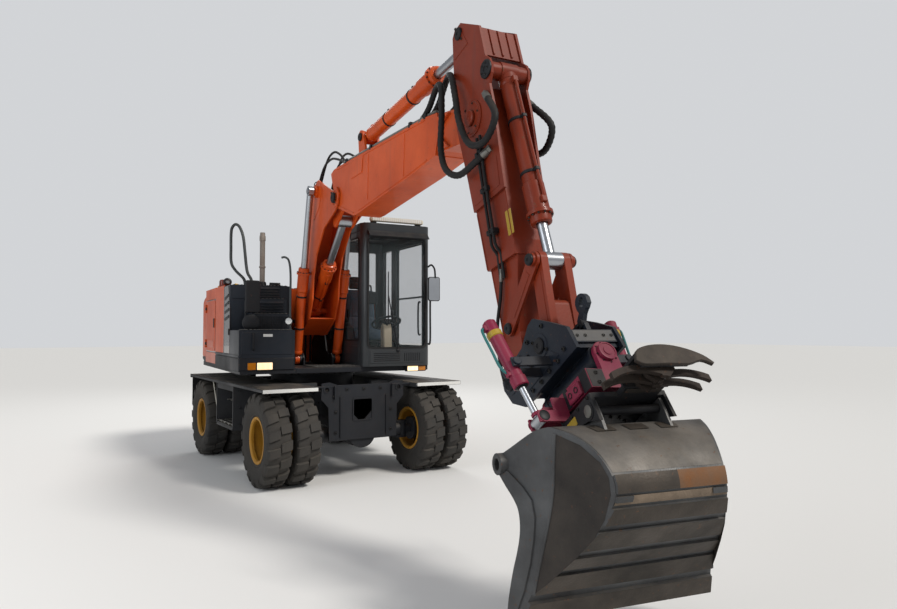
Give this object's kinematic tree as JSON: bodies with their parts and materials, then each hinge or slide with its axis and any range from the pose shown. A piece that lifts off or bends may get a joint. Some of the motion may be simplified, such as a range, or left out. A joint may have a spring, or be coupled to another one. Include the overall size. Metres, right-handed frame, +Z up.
{
  "type": "wheeled excavator with tilting rotator",
  "caption": "Wheeled excavator with twin tyres, a two-piece boom, an arm and a wide grading bucket on a tilting rotator with gripper jaws.",
  "frame": {"origin": "on the ground under the slewing axis", "axes": "+X along the chassis to the steered axle, +Y to the left (the cab's side), +Z up"},
  "size_m": [8.9507, 2.7015, 4.1605],
  "materials": {
    "chassis_paint": "satin",
    "sheet_grey": "satin",
    "ring_steel": "satin",
    "tyre_rubber": "matte",
    "rim_yellow": "satin",
    "deck_paint": "satin",
    "ballast_orange": "painted",
    "engine_grey": "matte",
    "hood_orange": "gloss",
    "door_brown": "gloss",
    "box_navy": "satin",
    "cab_grey": "satin",
    "cab_glazing": "clear",
    "seat_cloth": "matte",
    "boom_orange": "satin",
    "arm_red": "satin",
    "rod_chrome": "polished",
    "coupler_navy": "satin",
    "rotator_magenta": "satin",
    "rotor_black": "satin",
    "jaw_brown": "worn",
    "bucket_steel": "worn"
  },
  "bodies": {
    "chassis": {"chassis_frame": "chassis_paint", "slew_ring": "ring_steel", "front_axle": "chassis_paint", "rear_axle": "chassis_paint", "drive_shaft": "chassis_paint", "fender_left": "sheet_grey", "fender_right": "sheet_grey", "steps_left": "sheet_grey", "steps_right": "sheet_grey"},
    "knuckle_left": {"knuckle_left": "chassis_paint"},
    "knuckle_right": {"knuckle_right": "chassis_paint"},
    "wheel_front_left": {"tyres_front_left": "tyre_rubber", "rims_front_left": "rim_yellow"},
    "wheel_front_right": {"tyres_front_right": "tyre_rubber", "rims_front_right": "rim_yellow"},
    "wheel_rear_left": {"tyres_rear_left": "tyre_rubber", "rims_rear_left": "rim_yellow"},
    "wheel_rear_right": {"tyres_rear_right": "tyre_rubber", "rims_rear_right": "rim_yellow"},
    "superstructure": {"upper_deck": "deck_paint", "counterweight": "ballast_orange", "engine_block": "engine_grey", "engine_housing": "hood_orange", "front_box": "box_navy", "cab_shell": "cab_grey", "cab_glass": "cab_glazing", "cab_inside": "seat_cloth", "rails_mirrors": "deck_paint"},
    "cab_door": {"cab_door": "cab_grey"},
    "hood_lid": {"hood_lid": "hood_orange"},
    "side_door_right": {"side_door_right": "door_brown"},
    "side_door_left": {"side_door_left": "hood_orange"},
    "lower_boom": {"lower_boom": "boom_orange"},
    "lift_barrels": {"lift_barrels": "boom_orange"},
    "lift_rods": {"lift_rods": "rod_chrome"},
    "adjust_barrel": {"adjust_barrel": "boom_orange"},
    "adjust_rod": {"adjust_rod": "rod_chrome"},
    "upper_boom": {"upper_boom": "boom_orange"},
    "arm_cylinder_barrel": {"arm_cylinder_barrel": "boom_orange"},
    "arm_cylinder_rod": {"arm_cylinder_rod": "rod_chrome"},
    "arm": {"arm": "arm_red"},
    "bucket_cylinder_barrel": {"bucket_cylinder_barrel": "arm_red"},
    "bucket_cylinder_rod": {"bucket_cylinder_rod": "rod_chrome"},
    "side_links": {"side_links": "arm_red"},
    "bucket_link": {"bucket_link": "arm_red"},
    "coupler": {"coupler": "coupler_navy"},
    "rotor_housing": {"rotor_housing": "rotator_magenta"},
    "tilt_barrel_right": {"tilt_barrel_right": "rotator_magenta"},
    "tilt_barrel_left": {"tilt_barrel_left": "rotator_magenta"},
    "tilt_rod_right": {"tilt_rod_right": "rod_chrome"},
    "tilt_rod_left": {"tilt_rod_left": "rod_chrome"},
    "jaw_left": {"jaw_left": "jaw_brown"},
    "jaw_right": {"jaw_right": "jaw_brown"},
    "rotor": {"rotor_frame": "rotor_black", "bucket": "bucket_steel"}
  },
  "joints": [
    {"name": "steer_left", "type": "hinge", "parent": "chassis", "child": "knuckle_left", "pos_m": [1.49, 0.6, 0.5275], "axis": [0, 0, 1], "range_deg": [-30, 30]},
    {"name": "steer_right", "type": "hinge", "parent": "chassis", "child": "knuckle_right", "pos_m": [1.49, -0.6, 0.5275], "axis": [0, 0, 1], "range_deg": [-30, 30]},
    {"name": "wheel_front_left", "type": "hinge", "parent": "knuckle_left", "child": "wheel_front_left", "pos_m": [1.49, 0.966, 0.5275], "axis": [0, 1, 0], "continuous": true},
    {"name": "wheel_front_right", "type": "hinge", "parent": "knuckle_right", "child": "wheel_front_right", "pos_m": [1.49, -0.966, 0.5275], "axis": [0, 1, 0], "continuous": true},
    {"name": "wheel_rear_left", "type": "hinge", "parent": "chassis", "child": "wheel_rear_left", "pos_m": [-1.06, 0.966, 0.5275], "axis": [0, 1, 0], "continuous": true},
    {"name": "wheel_rear_right", "type": "hinge", "parent": "chassis", "child": "wheel_rear_right", "pos_m": [-1.06, -0.966, 0.5275], "axis": [0, 1, 0], "continuous": true},
    {"name": "slew", "type": "hinge", "parent": "chassis", "child": "superstructure", "pos_m": [0, 0, 1.24], "axis": [0, 0, 1], "continuous": true},
    {"name": "cab_door_hinge", "type": "hinge", "parent": "superstructure", "child": "cab_door", "pos_m": [0.23043, 1.22257, 2], "axis": [0, 0, 1], "range_deg": [0, 85]},
    {"name": "hood_lid_hinge", "type": "hinge", "parent": "superstructure", "child": "hood_lid", "pos_m": [-1.2816, 0.11213, 2.363], "axis": [-0.0872, -0.9962, 0], "range_deg": [0, 55]},
    {"name": "side_door_right_hinge", "type": "hinge", "parent": "superstructure", "child": "side_door_right", "pos_m": [-1.3895, -1.12116, 1.8], "axis": [0, 0, -1], "range_deg": [0, 100]},
    {"name": "side_door_left_hinge", "type": "hinge", "parent": "superstructure", "child": "side_door_left", "pos_m": [-1.17371, 1.34541, 1.8], "axis": [0, 0, 1], "range_deg": [0, 100]},
    {"name": "boom_lift", "type": "hinge", "parent": "superstructure", "child": "lower_boom", "pos_m": [0.04284, -0.08405, 1.8], "axis": [-0.0872, -0.9962, 0], "range_deg": [-38, 22]},
    {"name": "lift_barrel_swing", "type": "hinge", "parent": "superstructure", "child": "lift_barrels", "pos_m": [0.46124, -0.12066, 1.38], "axis": [-0.0872, -0.9962, 0], "range_deg": [-35, 21]},
    {"name": "lift_rod_slide", "type": "slide", "parent": "lift_barrels", "child": "lift_rods", "axis": [0.2621, -0.0229, 0.9648], "range_m": [-0.36, 0.21]},
    {"name": "boom_adjust", "type": "hinge", "parent": "lower_boom", "child": "upper_boom", "pos_m": [1.72631, -0.23134, 3.30512], "axis": [-0.0872, -0.9962, 0], "range_deg": [-22, 38]},
    {"name": "adjust_barrel_swing", "type": "hinge", "parent": "lower_boom", "child": "adjust_barrel", "pos_m": [0.32018, -0.10832, 2.02118], "axis": [-0.0872, -0.9962, 0], "range_deg": [-7, 5]},
    {"name": "adjust_rod_slide", "type": "slide", "parent": "adjust_barrel", "child": "adjust_rod", "axis": [0.752, -0.0658, 0.6559], "range_m": [-0.04, 0.065]},
    {"name": "arm_swing", "type": "hinge", "parent": "upper_boom", "child": "arm", "pos_m": [4.93375, -0.51195, 3.35008], "axis": [0.0872, 0.9962, 0], "range_deg": [-40, 50]},
    {"name": "arm_barrel_swing", "type": "hinge", "parent": "upper_boom", "child": "arm_cylinder_barrel", "pos_m": [2.33603, -0.28468, 3.87872], "axis": [0.0872, 0.9962, 0], "range_deg": [-2, 2]},
    {"name": "arm_rod_slide", "type": "slide", "parent": "arm_cylinder_barrel", "child": "arm_cylinder_rod", "axis": [0.9927, -0.0868, 0.084], "range_m": [-0.48, 0.59]},
    {"name": "coupler_curl", "type": "hinge", "parent": "arm", "child": "coupler", "pos_m": [5.4766, -0.55945, 1.39044], "axis": [-0.0872, -0.9962, 0], "range_deg": [-110, 12]},
    {"name": "side_link_swing", "type": "hinge", "parent": "arm", "child": "side_links", "pos_m": [5.39177, -0.55202, 1.76013], "axis": [-0.0872, -0.9962, 0], "range_deg": [-91, 11]},
    {"name": "bucket_link_swing", "type": "hinge", "parent": "side_links", "child": "bucket_link", "pos_m": [5.68066, -0.5773, 2.21013], "axis": [-0.0872, -0.9962, 0], "range_deg": [-7, 55]},
    {"name": "bucket_barrel_swing", "type": "hinge", "parent": "arm", "child": "bucket_cylinder_barrel", "pos_m": [5.14323, -0.53028, 3.65766], "axis": [-0.0872, -0.9962, 0], "range_deg": [-3, 3]},
    {"name": "bucket_rod_slide", "type": "slide", "parent": "bucket_cylinder_barrel", "child": "bucket_cylinder_rod", "axis": [0.3479, -0.0304, -0.937], "range_m": [-0.09, 0.77]},
    {"name": "rotator_tilt", "type": "hinge", "parent": "coupler", "child": "rotor_housing", "pos_m": [5.95491, -0.60129, 1.41793], "axis": [0.7956, -0.0696, 0.6018], "range_deg": [-16, 24]},
    {"name": "tilt_barrel_right_swing", "type": "hinge", "parent": "coupler", "child": "tilt_barrel_right", "pos_m": [5.83863, -1.0328, 1.52175], "axis": [0.7956, -0.0696, 0.6018], "range_deg": [-9.3, 13.5]},
    {"name": "tilt_rod_right_slide", "type": "slide", "parent": "tilt_barrel_right", "child": "tilt_rod_right", "axis": [0.6056, 0.0622, -0.7934], "range_m": [-0.125, 0.182]},
    {"name": "tilt_barrel_left_swing", "type": "hinge", "parent": "coupler", "child": "tilt_barrel_left", "pos_m": [5.91533, -0.15615, 1.52175], "axis": [0.7956, -0.0696, 0.6018], "range_deg": [-9.3, 13.5]},
    {"name": "tilt_rod_left_slide", "type": "slide", "parent": "tilt_barrel_left", "child": "tilt_rod_left", "axis": [0.5728, -0.2372, -0.7846], "range_m": [-0.185, 0.126]},
    {"name": "rotator_turn", "type": "hinge", "parent": "rotor_housing", "child": "rotor", "pos_m": [5.95491, -0.60129, 1.41793], "axis": [-0.592, 0.1218, 0.7967], "continuous": true},
    {"name": "jaw_left_swing", "type": "hinge", "parent": "rotor", "child": "jaw_left", "pos_m": [6.15148, -0.53454, 1.18099], "axis": [0.7813, -0.1556, 0.6044], "range_deg": [0, 40]},
    {"name": "jaw_right_swing", "type": "hinge", "parent": "rotor", "child": "jaw_right", "pos_m": [6.1337, -0.62277, 1.18126], "axis": [-0.7813, 0.1556, -0.6044], "range_deg": [0, 40]}
  ],
  "couplings": [
    {"joint": "steer_right", "follows": "steer_left", "ratio": 1},
    {"joint": "lift_barrel_swing", "follows": "boom_lift", "ratio": 0.8949},
    {"joint": "lift_rod_slide", "follows": "boom_lift", "m_per_rad": 0.53572},
    {"joint": "adjust_barrel_swing", "follows": "boom_adjust", "ratio": -0.16887},
    {"joint": "adjust_rod_slide", "follows": "boom_adjust", "m_per_rad": 0.08881},
    {"joint": "arm_barrel_swing", "follows": "arm_swing", "ratio": -0.02882},
    {"joint": "arm_rod_slide", "follows": "arm_swing", "m_per_rad": 0.6652},
    {"joint": "side_link_swing", "follows": "coupler_curl", "ratio": 0.81637},
    {"joint": "bucket_link_swing", "follows": "coupler_curl", "ratio": -0.48438},
    {"joint": "bucket_barrel_swing", "follows": "coupler_curl", "ratio": 0.02},
    {"joint": "bucket_rod_slide", "follows": "coupler_curl", "m_per_rad": -0.3958},
    {"joint": "tilt_barrel_right_swing", "follows": "rotator_tilt", "ratio": 0.51887},
    {"joint": "tilt_rod_right_slide", "follows": "rotator_tilt", "m_per_rad": 0.41142},
    {"joint": "tilt_barrel_left_swing", "follows": "rotator_tilt", "ratio": 0.52121},
    {"joint": "tilt_rod_left_slide", "follows": "rotator_tilt", "m_per_rad": -0.41698}
  ]
}
